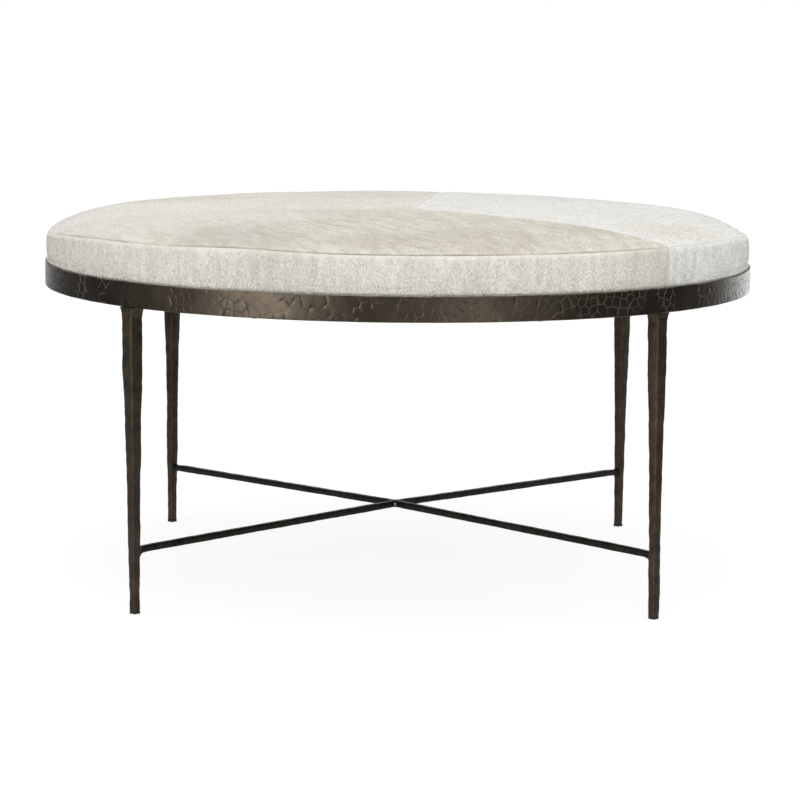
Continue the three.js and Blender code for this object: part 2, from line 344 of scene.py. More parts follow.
def cracked_face():
    """The hoop's outer face: points, faces, and how deep in a groove each point is."""
    middles = plate_middles()
    corners, rings = plates(middles)
    points = []
    faces = []
    grooves = []

    def wandering(place):
        """A point of a crack, moved a little sideways, alike for both plates beside it."""
        x, z = place
        spot = Vector(on_hoop(x, z, 0)) * waves_to_a_metre
        if hoop_corner < z < hoop_height - hoop_corner:
            x += crack_wander * noise.noise(spot)
            z += crack_wander * noise.noise(spot + Vector((7, 3, 1)))
        z = min(max(z, hoop_corner), hoop_height - hoop_corner)
        open_here = gape_change * noise.noise(spot * 0.35 + Vector((2, 9, 4))) + gape
        return x, z, min(max(open_here, 0), 1)

    for ring, middle in zip(rings, middles):
        outline = []
        for here, there in zip(ring, np.roll(ring, -1)):
            start, end = corners[here], corners[there]
            steps = max(1, round(np.linalg.norm(end - start) / crack_step))
            outline += [start + (end - start) * step / steps for step in range(steps)]
        bent = [wandering(place) for place in outline]
        before = bent[-1:] + bent[:-1]
        clean = [p for p, q in zip(bent, before) if math.dist(p[:2], q[:2]) > least_length]
        if len(clean) < 3:
            continue
        tilt = crack_random.uniform(-1, 1, 2) * plate_tilt
        first = len(points)
        count = len(clean)
        lifted = crack_random.uniform(*plate_lifts)
        for level in range(3):
            for x, z, open_here in clean:
                dx, dz = middle[0] - x, middle[1] - z
                reach = math.hypot(dx, dz)
                slope_share = min(crack_half_width / reach, plate_slope_most)
                share = (0, slope_share, plate_top_share)[level]
                px, pz = x + dx * share, z + dz * share
                lean = tilt[0] * (px - middle[0]) + tilt[1] * (pz - middle[1])
                rise = plate_rises[level] * plate_crown * lifted
                depth = max(0, plate_crown - rise + lean)
                if level == 0:
                    depth = max(crack_depth * open_here, groove_least)
                points.append(on_hoop(px, pz, depth))
                grooves.append(open_here if level == 0 else 0.0)
        points.append(on_hoop(*middle, 0))
        grooves.append(0.0)
        for i in range(count):
            after = (i + 1) % count
            for level in range(2):
                low, high = first + level * count, first + (level + 1) * count
                faces.append((low + i, low + after, high + after, high + i))
            faces.append((first + 2 * count + i, first + 2 * count + after, first + 3 * count))
    return points, faces, grooves


def make_hoop():
    """The cracked face, with the hoop's rims and its plain inside extruded from its edges."""
    points, faces, grooves = cracked_face()
    hoop = drawn("apron_ring_crackled", points, faces)
    marked(hoop.data, "groove", grooves)
    mesh = edit(hoop)
    take_all()
    bpy.ops.mesh.remove_doubles(threshold=merge_reach)
    bpy.ops.mesh.select_all(action="DESELECT")
    for level, way in ((hoop_bottom + hoop_corner, -1), (hoop_top - hoop_corner, 1)):
        bpy.ops.mesh.select_mode(type="EDGE")
        for edge in mesh.edges:
            ends = [vertex.co.z for vertex in edge.verts]
            edge.select_set(edge.is_boundary and all(abs(z - level) < same_level for z in ends))
        rings = [
            (hoop_radius - groove_least, level),
            (hoop_radius - hoop_corner * corner_in, level + way * hoop_corner * corner_up),
            (hoop_radius - hoop_corner, level + way * hoop_corner),
            (hoop_inner + hoop_corner, level + way * hoop_corner),
            (hoop_inner + hoop_corner * corner_in, level + way * hoop_corner * corner_up),
            (hoop_inner, level),
        ]
        for here, there in zip(rings, rings[1:]):
            drawn_to(*here, *there)
    for edge in mesh.edges:
        edge.select_set(edge.is_boundary)
    bpy.ops.mesh.bridge_edge_loops()
    take_all()
    bpy.ops.mesh.normals_make_consistent(inside=False)
    close()
    smooth(hoop, 28)
    return hoop


apron = make_hoop()
patina = Finish("crackled bronze", Specular_IOR_Level=0.4)
groove = patina.mark("groove")
patina_fine = patina.speckle(patina.place(), 800, 3, 0.6)
patina_cloud = patina.speckle(patina.place(), 30, 4, 0.6).between(0.32, 0.7)
plate_colour = patina.mixed(patina_fine * 0.5 + patina_cloud * 0.5, tint("#2c2721"), tint("#453e35"))
patina.set("Base Color", patina.mixed(groove * 0.7, plate_colour, tint("#686054")))
patina.set("Metallic", 0.96 - groove * 0.6)
patina.set("Roughness", patina_fine * 0.12 + groove * 0.25 + 0.26)
patina.raised(patina_fine, 0.0002, 0.5)
ridden(apron, patina, "hoop_iron", "apron_ring")


# The seat ring: a flat iron ring welded inside the hoop, level with its lower edge, that the seat
# rests on. Eight screws pass up through it.
def placed(piece, name, size=(1, 1, 1)):
    """Names a piece, gives it its size, and moves its place and turn into its mesh."""
    piece.scale = size
    piece.name = name
    piece.data.name = name
    only(piece)
    bpy.ops.object.transform_apply(location=True, rotation=True, scale=True)
    return piece


def modified(piece, kind, **settings):
    """Applies one modifier to a piece."""
    only(piece)
    modifier = piece.modifiers.new(kind, kind)
    for name, value in settings.items():
        setattr(modifier, name, value)
    bpy.ops.object.modifier_apply(modifier=modifier.name)


def cut(piece, cutter):
    """Takes a cutter's shape out of a piece, and the cutter away."""
    modified(piece, "BOOLEAN", operation="DIFFERENCE", object=cutter, solver="EXACT")
    bpy.data.objects.remove(cutter)


def bronze(name, dark, light, grain, polish):
    """Dark bronze patina on hammered iron: waxed, and rubbed lighter on what stands proud."""
    finish = Finish(name, Metallic=0.94, Specular_IOR_Level=0.4)
    place = finish.place()
    cloud = finish.speckle(place, 60, 4, 0.6).between(0.3, 0.7)
    fine = finish.speckle(place, grain, 3, 0.65)
    bright = finish.speckle(place, 420, 2, 0.5).between(0.7, 0.8)
    colour = finish.mixed(cloud * 0.5 + fine * 0.5, dark, light)
    finish.set("Base Color", finish.mixed(bright * 0.6, colour, polish))
    finish.set("Roughness", cloud * 0.1 + fine * 0.16 + 0.3)
    finish.raised(fine + cloud, 0.0003, 0.7)
    return finish


bar_bronze = bronze("darker bronze", tint("#151310"), tint("#2d2a25"), 900, tint("#6d675d"))
ring_inner = hole("seat_ring")
ring_outer = farthest("seat_ring")
ring_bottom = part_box("seat_ring")[0].z
ring_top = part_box("seat_ring")[1].z
ring_corner = 0.0007
ring_steps = 192
ring_merge = 0.00001
screw_count = 8
screw_turns = [math.pi * (2 * i + 1) / screw_count for i in range(screw_count)]
screw_inset = 0.014
screw_radius = hoop_inner - screw_inset
screw_hole = 0.0026
drill_length = 0.03


def make_seat_ring():
    """The bar's section, spun round the table's axis and drilled for the screws."""
    middle = ((ring_inner + ring_outer) / 2, 0, (ring_bottom + ring_top) / 2)
    section = (ring_outer - ring_inner, ring_top - ring_bottom, 1)
    bpy.ops.mesh.primitive_plane_add(size=1, location=middle, rotation=(math.pi / 2, 0, 0))
    ring = placed(bpy.context.object, "seat_ring_rolled", section)
    edit(ring)
    take_all()
    bpy.ops.mesh.bevel(affect="VERTICES", offset=ring_corner, segments=3)
    take_all()
    bpy.ops.mesh.delete(type="ONLY_FACE")
    take_all()
    bpy.ops.mesh.spin(steps=ring_steps, angle=2 * math.pi, center=(0, 0, 0), axis=(0, 0, 1))
    take_all()
    bpy.ops.mesh.remove_doubles(threshold=ring_merge)
    bpy.ops.mesh.normals_make_consistent(inside=False)
    close()
    for turn in screw_turns:
        where = (screw_radius * math.cos(turn), screw_radius * math.sin(turn), ring_top)
        bpy.ops.mesh.primitive_cylinder_add(
            vertices=24, radius=screw_hole, depth=drill_length, location=where
        )
        cut(ring, bpy.context.object)
    smooth(ring, 35)
    return ring


ridden(make_seat_ring(), bar_bronze, "leg_iron", "seat_ring")

# The deck screws: zinc-plated pan heads with a cross recess, driven up through the seat ring and the
# turned-in hide into the board.
head_lift = 0.0003
head_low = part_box("deck_screw_1")[0].z + head_lift
screw_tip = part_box("deck_screw_1")[1].z
head_radius = 0.0042
head_height = 0.0021
head_round = 0.0013
shank_radius = 0.0021
tip_length = 0.003
tip_share = 0.15
recess_reach = 0.0046
recess_width = 0.0009
recess_depth = 0.0013


def block(name, where, size, turn=0.0):
    """A plain block of a size about a place, turned about its own upright axis."""
    bpy.ops.mesh.primitive_cube_add(size=1, location=where, rotation=(0, 0, turn))
    return placed(bpy.context.object, name, size)


def copied(piece, name, turn):
    """A copy of a piece with its own mesh, turned about the table's axis."""
    copy = added(name, piece.data.copy())
    copy.rotation_euler.z = turn
    return placed(copy, name)


def flat(mesh, height):
    """Selects the level faces at one height."""
    bpy.ops.mesh.select_mode(type="FACE")
    for face in mesh.faces:
        level = all(abs(vertex.co.z - height) < same_level for vertex in face.verts)
        face.select_set(level and abs(face.normal.z) > 0.9)


def make_screw():
    """A round-edged head with a cross sunk into it, and a shank drawn out to a point."""
    head_top = head_low + head_height
    where = (screw_radius, 0, head_low + head_height / 2)
    bpy.ops.mesh.primitive_cylinder_add(
        vertices=32, radius=head_radius, depth=head_height, location=where
    )
    screw = placed(bpy.context.object, "screw")
    flat(edit(screw), head_low)
    bpy.ops.mesh.select_mode(type="EDGE")
    bpy.ops.mesh.region_to_loop()
    bpy.ops.mesh.bevel(offset=head_round, segments=5)
    flat(bmesh.from_edit_mesh(screw.data), head_top)
    bpy.ops.mesh.inset(thickness=head_radius - shank_radius)
    for length in (screw_tip - head_top - tip_length, tip_length):
        bpy.ops.mesh.extrude_region_move(TRANSFORM_OT_translate={"value": (0, 0, length)})
    end = (screw_radius, 0, screw_tip)
    bpy.ops.transform.resize(value=(tip_share, tip_share, 1), center_override=end)
    close()
    for length, width in ((recess_reach, recess_width), (recess_width, recess_reach)):
        cut(screw, block("recess", (screw_radius, 0, head_low), (length, width, 2 * recess_depth)))
    smooth(screw, 30)
    return screw


zinc = Finish("zinc plate", Metallic=1.0)
zinc_fine = zinc.speckle(zinc.place(), 1500, 3, 0.6)
zinc.set("Base Color", zinc.mixed(zinc_fine, tint("#8f8f8c"), tint("#c9c8bf")))
zinc.set("Roughness", zinc_fine * 0.25 + 0.25)
first_screw = make_screw()
for number, turn in enumerate(screw_turns, 1):
    screw = copied(first_screw, f"deck_screw_{number}_pan_head", turn)
    ridden(screw, zinc, "screw_steel", f"deck_screw_{number}")
bpy.data.objects.remove(first_screw)

# The legs: square bar, forged hot, drawn out to the foot and hammered all over, then welded up
# under the hoop on edge. Each is its own work, so no two taper quite alike.
leg_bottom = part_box("leg_front_left")[0].z
leg_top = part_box("leg_front_left")[1].z
leg_radius = Vector(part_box("leg_front_left")[0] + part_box("leg_front_left")[1]).xy.length / 2
leg_corner = 0.0018
# What the rounding takes off a leg's sides
leg_extra = 0.0006
leg_bronze = bronze("forged bronze", tint("#26201a"), tint("#4a4036"), 900, tint("#a39586"))
# Each leg's shares of its height, from the foot up, and how wide its sides are there
leg_sides = {
    "back_right": (
        (0, 0.0086), (0.25, 0.0105), (0.43, 0.0117), (0.59, 0.0142), (0.77, 0.0167), (1, 0.0176),
    ),
    "back_left": (
        (0, 0.0092), (0.1, 0.0092), (0.27, 0.0116), (0.46, 0.0116), (0.64, 0.0134), (0.78, 0.0164),
        (1, 0.0176),
    ),
    "front_left": (
        (0, 0.0096), (0.05, 0.0092), (0.18, 0.0107), (0.28, 0.0119), (0.36, 0.0116), (0.45, 0.0126),
        (0.53, 0.0141), (0.67, 0.0148), (0.74, 0.017), (0.8, 0.0178), (1, 0.0179),
    ),
    "front_right": (
        (0, 0.0098), (0.12, 0.0108), (0.25, 0.0103), (0.37, 0.0114), (0.49, 0.0121), (0.62, 0.0135),
        (0.73, 0.0154), (0.83, 0.0169), (1, 0.0172),
    ),
}
leg_turns = {place: math.pi * (2 * i + 1) / 4 for i, place in enumerate(leg_sides)}
leg_leans = {"back_right": 0, "back_left": 0, "front_left": -0.003, "front_right": -0.0028}
# How far apart the hammer's blows fall, how deep they mark, and how much width and line vary
leg_blows = (0.009, 0.018)
leg_marks = 0.0008
side_play = 0.025
drift_play = 0.00035
# How far below its top a leg swells into the weld, and by how much
weld_steps = ((0.013, 1.0), (0.0085, 1.04), (0.005, 1.12), (0.0026, 1.23), (0.001, 1.37), (0, 1.46))

hammer_marks = bpy.data.textures.new("hammer marks", "VORONOI")
hammer_marks.noise_scale = 0.012
scale_marks = bpy.data.textures.new("forge scale", "CLOUDS")
scale_marks.noise_scale = 0.0035
scale_share = 0.35


def forged(piece, corner, depth, axis):
    """Rounds a bar's corners and leaves the hammer's marks in it. Its ends stay cut square."""
    low, high = (pick(vertex.co[axis] for vertex in piece.data.vertices) for pick in (min, max))
    mesh = edit(piece)
    bpy.ops.mesh.select_mode(type="FACE")
    for face in mesh.faces:
        face.select_set(abs(face.normal[axis]) > 0.99)
    bpy.ops.mesh.delete(type="FACE")
    close()
    sharp = math.radians(50)
    modified(piece, "BEVEL", limit_method="ANGLE", angle_limit=sharp, width=corner, segments=2)
    modified(piece, "SUBSURF", levels=2, render_levels=2)
    modified(piece, "DISPLACE", texture=hammer_marks, strength=depth, mid_level=0.45)
    modified(piece, "DISPLACE", texture=scale_marks, strength=depth * scale_share, mid_level=0.5)
    mesh = edit(piece)
    for vertex in mesh.verts:
        if vertex.is_boundary:
            vertex.co[axis] = low if vertex.co[axis] < (low + high) / 2 else high
    take_all()
    bpy.ops.mesh.fill_holes(sides=0)
    close()
    smooth(piece, 45)
    return piece


def sliced(piece, places, axis):
    """Cuts a bar into rings at places along an axis."""
    edit(piece)
    normal = [float(i == axis) for i in range(3)]
    for place in places:
        take_all()
        bpy.ops.mesh.bisect(plane_co=[place * share for share in normal], plane_no=normal)
    bpy.ops.mesh.select_mode(type="VERT")


def pick_ring(piece, place, axis):
    """Selects a bar's ring of vertices at a place along an axis."""
    bpy.ops.mesh.select_all(action="DESELECT")
    for vertex in bmesh.from_edit_mesh(piece.data).verts:
        vertex.select_set(abs(vertex.co[axis] - place) < same_level)


def irregular(start, end, least, most, random):
    """Places from start to end, at uneven steps."""
    places = [start]
    while places[-1] < end - most:
        places.append(places[-1] + random.uniform(least, most))
    return places[1:]


def make_leg(place, seed):
    """A bar drawn out step by step as one leg tapers, leans and flares, and set in its place."""
    random = np.random.default_rng(seed)
    turn = leg_turns[place]
    height = leg_top - leg_bottom
    leg = block(f"leg_{place}_forged", (0, 0, leg_bottom + height / 2), (1, 1, height))
    shares, sides = np.array(leg_sides[place]).T
    flares = {leg_top - down: grown for down, grown in weld_steps}
    body = irregular(leg_bottom, leg_top - weld_steps[0][0], *leg_blows, random)
    heights = [leg_bottom, *body, *flares]
    sliced(leg, heights[1:-1], 2)
    lean = Matrix.Rotation(-turn, 3, "Z") @ Vector((leg_leans[place], 0, 0))
    for z in heights:
        share = (z - leg_bottom) / height
        side = np.interp(share, shares, sides) + leg_extra
        loose = 1 if z in flares or z == leg_bottom else 1 + random.uniform(-side_play, side_play)
        drift = random.uniform(-drift_play, drift_play, 2) if leg_bottom < z < leg_top else (0, 0)
        section = (side * loose, side / loose * flares.get(z, 1), 1)
        pick_ring(leg, z, 2)
        bpy.ops.transform.resize(value=section, center_override=(0, 0, z))
        bpy.ops.transform.translate(value=(drift[0] + lean.x * share, drift[1] + lean.y * share, 0))
    close()
    leg.location = (leg_radius * math.cos(turn), leg_radius * math.sin(turn), 0)
    leg.rotation_euler.z = turn
    placed(leg, leg.name)
    return forged(leg, leg_corner, leg_marks, 2)


for seed, place in enumerate(leg_sides, 20):
    ridden(make_leg(place, seed), leg_bronze, "leg_iron", f"leg_{place}")

# The glides: a small moulded pad of hard dark rubber under each foot, about as wide as the iron and
# glued to it, so that the legs don't mark the floor.
glide_side = 0.0099
glide_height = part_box("glide_front_left")[1].z
glide_corner = 0.0014
glide_edge = 0.0004
collar_step = 0.0005
collar_height = 0.0002


def make_glide():
    """A pad with rounded corners, and a low raised seat for the leg on it."""
    where = (leg_radius, 0, glide_height / 2)
    glide = block("glide", where, (glide_side, glide_side, glide_height))
    mesh = edit(glide)
    bpy.ops.mesh.select_mode(type="EDGE")
    for edge in mesh.edges:
        edge.select_set(abs(edge.verts[0].co.z - edge.verts[1].co.z) > glide_height / 2)
    bpy.ops.mesh.bevel(offset=glide_corner, segments=4)
    flat(bmesh.from_edit_mesh(glide.data), glide_height)
    bpy.ops.mesh.inset(thickness=collar_step)
    bpy.ops.mesh.extrude_region_move(TRANSFORM_OT_translate={"value": (0, 0, collar_height)})
    close()
    sharp = math.radians(60)
    modified(glide, "BEVEL", limit_method="ANGLE", angle_limit=sharp, width=glide_edge, segments=2)
    smooth(glide, 35)
    return glide


rubber = Finish("black rubber", Specular_IOR_Level=0.4)
rubber_fine = rubber.speckle(rubber.place(), 2200, 3, 0.6)
rubber.set("Base Color", rubber.mixed(rubber_fine, tint("#090908"), tint("#1a1816")))
rubber.set("Roughness", rubber_fine * 0.3 + 0.5)
rubber.raised(rubber_fine, 0.0001, 0.6)
first_glide = make_glide()
for place, turn in leg_turns.items():
    glide = copied(first_glide, f"glide_{place}_moulded", turn)
    ridden(glide, rubber, "glide_pad", f"glide_{place}")
bpy.data.objects.remove(first_glide)

# The stretchers: two round-cornered bars from leg to leg, rising a little to where they are halved
# into each other and spot-welded. Their ends swell into the weld at each leg, most underneath.
bar_thick = 0.0086
bar_height = 0.079
bar_rise = 0.0057
bar_corner = 0.0018
bar_blows = (0.014, 0.027)
bar_marks = 0.0005
bar_play = 0.05
bar_setback = 0.0049
bar_reach = leg_radius - bar_setback
notch_gap = 0.0003
# How far in from a bar's end, how wide and how tall the bar is there, and how far it hangs down
end_steps = (
    (0, 1.25, 1.5, 0.0021), (0.0012, 1.16, 1.3, 0.0016), (0.003, 1.07, 1.1, 0.001),
    (0.006, 1, 0.96, 0.0006), (0.0105, 0.98, 0.93, 0.0003), (0.017, 1, 1, 0),
)
# Each bar: the leg it starts from, its turn, on which side it is notched, and its seed
stretchers = (("front_left", math.pi / 4, -1, 31), ("front_right", 3 * math.pi / 4, 1, 32))


def make_stretcher(start, turn, side, seed):
    """A bar with flared ends that rises to its middle, where half of it is notched away."""
    random = np.random.default_rng(seed)
    size = (2 * bar_reach, bar_thick, bar_thick)
    bar = block(f"stretcher_from_{start}_forged", (0, 0, bar_height), size)
    ends = {}
    for way in (-1, 1):
        for inward, *shape in end_steps:
            ends[way * (bar_reach - inward)] = shape
    inner = bar_reach - end_steps[-1][0]
    body = irregular(-inner, inner, *bar_blows, random)
    places = sorted([*ends, *body, 0.0])
    sliced(bar, places[1:-1], 0)
    for x in places:
        wide, tall, drop = ends.get(x, (*(1 + random.uniform(-bar_play, bar_play, 2)), 0))
        rise = bar_rise * (1 - abs(x) / bar_reach) - drop
        pick_ring(bar, x, 0)
        bpy.ops.transform.resize(value=(1, wide, tall), center_override=(x, 0, bar_height))
        bpy.ops.transform.translate(value=(0, 0, rise))
    close()
    forged(bar, bar_corner, bar_marks, 0)
    crossing = bar_height + bar_rise + side * (bar_thick / 2 - notch_gap / 2)
    notch = (bar_thick + 4 * notch_gap, 3 * bar_thick, bar_thick)
    cut(bar, block("notch", (0, 0, crossing), notch))
    bar.rotation_euler.z = turn
    return placed(bar, bar.name)


for start, *shape in stretchers:
    ridden(make_stretcher(start, *shape), bar_bronze, "leg_iron", f"stretcher_from_{start}")

# The centre weld: beads over and under the crossing and in its front and back corners, ground down
# a little, and coloured far lighter than the bars, which paints in a highlight on them.
weld_flat = (0.0058, 0.005, 0.0009)
weld_upright = (0.003, 0.0022, 0.0027)
weld_sunk = 0.0003
weld_out = bar_thick * 0.64
weld_marks = 0.0011
# Far lighter than the bars' bronze: a painted highlight on the weld
weld_highlight_bronze = bronze("weld bronze with painted highlight", tint("#5a5046"), tint("#8d8172"), 700, tint("#c2b8a8"))


def make_centre_weld():
    """Four beads joined in one piece."""
    beads = []
    kinds = ((0, bar_thick / 2 - weld_sunk, weld_flat), (weld_out, 0, weld_upright))
    for side in (-1, 1):
        for out, up, size in kinds:
            where = (0, side * out, bar_height + bar_rise + side * up)
            bpy.ops.mesh.primitive_uv_sphere_add(segments=28, ring_count=14, radius=1, location=where)
            beads.append(placed(bpy.context.object, "centre_weld", size))
    for bead in beads:
        bead.select_set(True)
    bpy.ops.object.join()
    weld = bpy.context.object
    modified(weld, "DISPLACE", texture=scale_marks, strength=weld_marks, mid_level=0.5)
    smooth(weld, 60)
    return weld


ridden(make_centre_weld(), weld_highlight_bronze, "leg_iron")

# The deck board: a disc of birch plywood that the foam is glued to. The screws through the seat
# ring hold it, and its solid is round and plain enough to be kept as it is.
plywood = Finish("birch plywood", Roughness=0.75, Specular_IOR_Level=0.3)
wood_grain = plywood.speckle(plywood.stretched(plywood.place(), 0.2, (6, 150, 900)), 1, 4, 0.6)
wood_board = plywood.speckle(plywood.stretched(plywood.place(), 0.2, (1.2, 9, 9)), 1, 2, 0.5)
plywood.set(
    "Base Color",
    plywood.mixed(wood_grain * 0.7 + wood_board * 0.3, tint("#a98554"), tint("#d9bd8f")),
)
plywood.raised(wood_grain, 0.0003, 0.6)
plywood.on(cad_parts["deck_board"])

# The stuffing: a round block of open-cell foam on the board, and over it a crown of fibre wadding
# that gives the seat its dome. Its edge has settled a little, most at the left and the right.
seam_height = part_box("hide_top_front")[0].z
crown_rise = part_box("hide_top_front")[1].z - seam_height
crown_power = 4.4
rim_radius = farthest("hide_top_front")
# Where the edge has settled, in degrees, how far to both sides of that, and how deep. The last of
# them stands up instead.
settlings = ((181.6, 22, 0.0126), (2.4, 16, 0.0133), (246, 10, -0.003))
settle_reach = 0.07
stuffing_gap = 0.0006
stuffing_least = 0.001
edge_inset = 0.006
edge_rings = 3
inner_rings = 9
lump_size = 0.05
lump_height = 0.0006


def crown(radius):
    """How high the cover's top lies at a radius: a low dome."""
    return seam_height + crown_rise * (1 - (radius / rim_radius) ** crown_power)


def droop(angles):
    """How far the cushion's edge has settled, all round it."""
    total = 0
    for turn, width, depth in settlings:
        away = np.mod(np.degrees(angles) - turn + 180, 360) - 180
        total = total + depth * np.exp(-((away / width) ** 2))
    return total


def nearness(inward):
    """1 at the cushion's edge, falling to 0 where nothing has settled."""
    return np.clip(1 - inward / settle_reach, 0, 1)


def stuffing(name, node, lowered, firm):
    """A soft round block that fills its node's space. A firm one is pressed together by settling."""
    low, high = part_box(node)
    middle = (low.z + high.z) / 2
    radius = farthest(node) - stuffing_gap
    bpy.ops.mesh.primitive_cylinder_add(
        vertices=120, radius=radius, depth=high.z - low.z, location=(0, 0, middle)
    )
    stuffed = placed(bpy.context.object, name)
    flat(edit(stuffed), high.z)
    for step in [edge_inset] * edge_rings + [radius / (inner_rings + 2)] * inner_rings:
        bpy.ops.mesh.inset(thickness=step)
    mesh = bmesh.from_edit_mesh(stuffed.data)
    for vertex in mesh.verts:
        if vertex.co.z > middle:
            vertex.co.z = max(min(lowered(vertex.co.xy.length), high.z), low.z + stuffing_least)
        share = (vertex.co.z - low.z) / (high.z - low.z) if firm else 1
        near = nearness(rim_radius - vertex.co.xy.length)
        vertex.co.z -= share * droop(math.atan2(vertex.co.y, vertex.co.x)) * near**2
    close()
    lumps = bpy.data.textures.new(name, "CLOUDS")
    lumps.noise_scale = lump_size
    modified(stuffed, "DISPLACE", texture=lumps, strength=lump_height, mid_level=0.9)
    smooth(stuffed, 50)
    return stuffed


foam_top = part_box("foam_core")[1].z
foam_radius = farthest("foam_core")
foam_drop = 0.003


def foam_crown(radius):
    """The foam's top: flat, and a little lower at its very edge."""
    return foam_top - foam_drop * (radius / foam_radius) ** 20


foam = stuffing("foam_core_block", "foam_core", foam_crown, True)
open_cell = Finish("open-cell foam", Roughness=0.95, Specular_IOR_Level=0.1)
foam_cells = open_cell.node("ShaderNodeTexVoronoi", {}, {"Vector": open_cell.place(), "Scale": 700})
open_cell.set("Base Color", open_cell.mixed(foam_cells, tint("#d8cb8e"), tint("#f0e6b4")))
open_cell.raised(foam_cells, 0.0006, 0.8)
ridden(foam, open_cell, "seat_foam", "foam_core")

wadding_thick = 0.0032
wadding = stuffing("crown_wadding_layer", "crown_wadding", lambda r: crown(r) - wadding_thick, False)
fibre = Finish("polyester fibre", Roughness=1.0, Specular_IOR_Level=0.1)
fibre_strands = fibre.speckle(fibre.stretched(fibre.place(), 0.6, (90, 900, 900)), 1, 4, 0.7)
fibre.set("Base Color", fibre.mixed(fibre_strands, tint("#d8d7d0"), tint("#f6f5f0")))
fibre.raised(fibre_strands, 0.0008, 0.7)
ridden(wadding, fibre, "polyester_wadding", "crown_wadding")

# The dust cover: a disc of black non-woven cloth that closes the seat from below. It is drawn tight
# and stapled up under the board, inside the turned-in hide.
cover_radius = farthest("dust_cover")
cover_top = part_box("dust_cover")[1].z
cover_thick = 0.0006
cover_gap = 0.0003
cover_sag = 0.0022
cover_rings = (0.424, 0.414, 0.4, 0.38, 0.35, 0.31, 0.26, 0.2, 0.14, 0.08, 0.03)
pleat_count = 23
pleat_height = 0.0005
pleat_share = 0.18


def make_dust_cover():
    """A disc of rings that sags to the middle and puckers at its stapled edge."""
    level = cover_top - cover_thick - cover_gap
    bpy.ops.mesh.primitive_circle_add(
        vertices=184, radius=cover_radius, location=(0, 0, level), fill_type="NOTHING"
    )
    cloth = placed(bpy.context.object, "dust_cover_cloth")
    edit(cloth)
    take_all()
    for radius, smaller in zip((cover_radius, *cover_rings), cover_rings):
        drawn_to(radius, level, smaller, level)
    bpy.ops.mesh.extrude_edges_move()
    bpy.ops.mesh.merge(type="CENTER")
    mesh = bmesh.from_edit_mesh(cloth.data)
    for vertex in mesh.verts:
        share = vertex.co.xy.length / cover_radius
        angle = math.atan2(vertex.co.y, vertex.co.x)
        pull = math.sin(pleat_count * angle + 3 * noise.noise(Vector((angle, 0, 5))))
        tight = max(0, 1 - (1 - share) / pleat_share)
        pleat = pleat_height * tight * (1 - tight**4) * (1 + pull)
        vertex.co.z -= cover_sag * (1 - share**2) + pleat
    take_all()
    bpy.ops.mesh.normals_make_consistent(inside=False)
    close()
    modified(cloth, "SOLIDIFY", thickness=cover_thick, offset=0)
    smooth(cloth, 60)
    return cloth


dust_cover = make_dust_cover()
cambric = Finish("black cambric", Roughness=0.95, Specular_IOR_Level=0.15)
cambric_dots = cambric.node(
    "ShaderNodeTexVoronoi", {}, {"Vector": cambric.place(), "Scale": 620, "Randomness": 0.25}
)
cambric_fibre = cambric.speckle(cambric.place(), 900, 4, 0.7)
cambric.set(
    "Base Color",
    cambric.mixed(cambric_dots * 0.6 + cambric_fibre * 0.4, tint("#0f0f10"), tint("#2b2b2d")),
)
cambric.raised(cambric_dots, 0.0002, 0.7)
ridden(dust_cover, cambric, "dust_cloth", "dust_cover")

# The hide cover: three pie-shaped panels of hair-on hide for the top, sewn together and to three
# lengths of band, which go down inside the hoop and are turned in under the board.
# A panel lies between the seam of its own number and the next, against the clock from the right
panels = ("right", "back_left", "front")
seam_turns = [math.radians(angle) for angle in (-44, 81, 196)]
seam_turns.append(seam_turns[0] + 2 * math.pi)
seam_meeting = np.array((0.02, -0.02))
hide_thick = 0.0025
# How deep and how wide a seam is, how far its painted shade shows, and how the hide is filled out beside
# it
seam_depth = 0.0012
seam_width = 0.0009
seam_shade = 0.0007
seam_puff = 0.0008
puff_reach = 0.009
rim_puff = 0.0019
# The rim's seam: how deep all of it lies, where in degrees and how far to both sides of that it is
# drawn in tight, over how many degrees that fades, and how far in and down it is drawn there
sewn_in = 0.0004
rim_tight = (-104, 52)
rim_fade = 16
rim_loose = 0.25
tight_in = 0.0006
tight_down = 0.0008
pinch_reach = 1.3 * seam_width
# How dark the painted shade in the seams between the top panels is
cross_seam_shade = 0.7
calm_reach = 0.02
# The height, seed and greatest length of the slow waves in the top and in the band
top_waves = ((0.0006, 51, 0.21), (0.00022, 52, 0.045))
band_waves = ((0.0005, 53, 0.16), (0.0003, 54, 0.04))
# Where the grid's lines lie beside a seam, before they go on at even steps
near_seam = (0.0001, 0.0003, 0.0006, 0.001, 0.0016, 0.0024, 0.0036, 0.0054, 0.008, 0.0115)
grid_step = 0.006
hide_merge = 0.000004
band_end_gap = 0.002
# The band's section is eased over this many of its steps to both sides, but for its two ends
line_steps = 500
ease_window = 13
held_ends = 0.002
# From where above the hoop and over what height the band comes free, how much of a seam's shape
# shows where it is held, and how near the rim it lies calm
free_from = 0.002
free_over = 0.008
held_seam = 0.35
band_calm = 0.004

turn_in = nearest("hide_band_front")
band_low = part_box("hide_band_front")[0].z
band_gap = 0.0007
band_fit = hoop_inner - band_gap
band_full = farthest("hide_band_front")
# The band's section, from its seam down into the hoop and in under the board
band_line = [
    (band_full - 0.0013, seam_height - 0.0003),
    (band_full - 0.0005, seam_height - 0.005),
    (band_full, seam_height - 0.013),
    (band_full + 0.0003, seam_height - 0.026),
    (band_full - 0.0002, hoop_top + 0.0125),
    (band_full - 0.0013, hoop_top + 0.0055),
    (band_fit + 0.0004, hoop_top + 0.001),
    (band_fit, hoop_top - 0.004),
    (band_fit, band_low + 0.0022),
    (band_fit - 0.0007, band_low + 0.0007),
    (band_fit - 0.0022, band_low),
    (turn_in, band_low),
]


